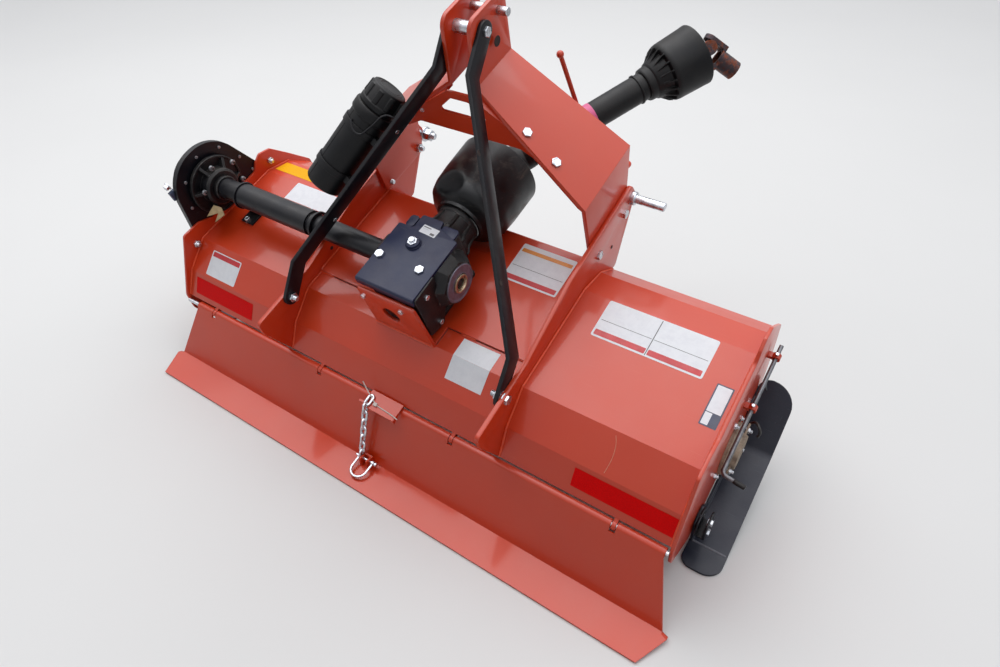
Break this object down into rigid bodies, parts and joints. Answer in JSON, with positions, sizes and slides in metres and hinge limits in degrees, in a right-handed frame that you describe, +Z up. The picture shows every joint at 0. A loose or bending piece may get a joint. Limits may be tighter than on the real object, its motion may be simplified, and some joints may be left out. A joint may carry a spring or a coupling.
{
  "type": "rotary tiller",
  "caption": "Rear-mounted rotary tiller for a small tractor: folded hood, tined rotor, A-frame hitch, side drive, guarded driveline and hinged tailgate on a chain.",
  "frame": {"origin": "on the floor under the middle of the bounding box, parked on the rotor and the rear pads of the skids", "axes": "+X to the right of the machine (the side away from the gear case), +Y towards the tractor, +Z up"},
  "size_m": [1.722, 1.2068, 1.018],
  "materials": {
    "orange_paint": "semi-gloss",
    "black_paint": "semi-gloss",
    "black_plastic": "satin",
    "zinc": "satin",
    "rusty_steel": "rough"
  },
  "bodies": {
    "frame": {"bearing_housing": "black_paint", "brace_left": "black_paint", "brace_right": "black_paint", "canister": "black_plastic", "canister_cap": "black_plastic", "canister_straps": "black_paint", "chain": "zinc", "chain_tab": "orange_paint", "driveline_holder": "orange_paint", "driveline_inner_shaft": "zinc", "driveline_rear_guard": "black_plastic", "end_plate_left": "orange_paint", "end_plate_right": "orange_paint", "gear_case": "black_paint", "gearbox": "black_paint", "gearbox_bracket": "orange_paint", "gearbox_cover": "black_paint", "gusset_left": "orange_paint", "gusset_right": "orange_paint", "hinge_rod": "zinc", "hood": "orange_paint", "hood_doubler": "orange_paint", "input_shaft": "zinc", "input_shield": "black_plastic", "lower_pin_left": "zinc", "lower_pin_right": "zinc", "mast_plate_left": "orange_paint", "mast_plate_right": "orange_paint", "mast_spacer": "zinc", "mast_web": "orange_paint", "pull_rod": "zinc", "pull_rod_lugs": "orange_paint", "rear_cross": "rusty_steel", "rear_yoke_input": "rusty_steel", "rear_yoke_shaft": "rusty_steel", "rotor_bearing": "zinc", "side_shaft_tube": "black_paint", "skid_left": "black_paint", "skid_right": "black_paint", "top_link_pin": "zinc", "tube_bracket": "black_paint"},
    "rotor": {"rotor": "black_paint"},
    "tailgate": {"tailgate": "orange_paint", "chain_lug": "orange_paint", "chain_shackle": "zinc"},
    "driveline_front": {"driveline_front_guard": "black_plastic", "driveline_bell": "black_plastic", "driveline_outer_shaft": "zinc", "front_yoke_shaft": "rusty_steel", "front_yoke_tractor": "rusty_steel", "front_cross": "rusty_steel"}
  },
  "joints": [
    {"name": "rotor_spin", "type": "hinge", "parent": "frame", "child": "rotor", "pos_m": [0, -0.11946, 0.18], "axis": [1, 0, 0], "continuous": true},
    {"name": "tailgate_hinge", "type": "hinge", "parent": "frame", "child": "tailgate", "pos_m": [0, -0.44218, 0.16402], "axis": [-1, 0, 0], "range_deg": [-30, 26], "deforming": ["chain"]},
    {"name": "driveline_slide", "type": "slide", "parent": "frame", "child": "driveline_front", "axis": [0.528, 0.7548, 0.3893], "range_m": [0, 0.13]}
  ]
}
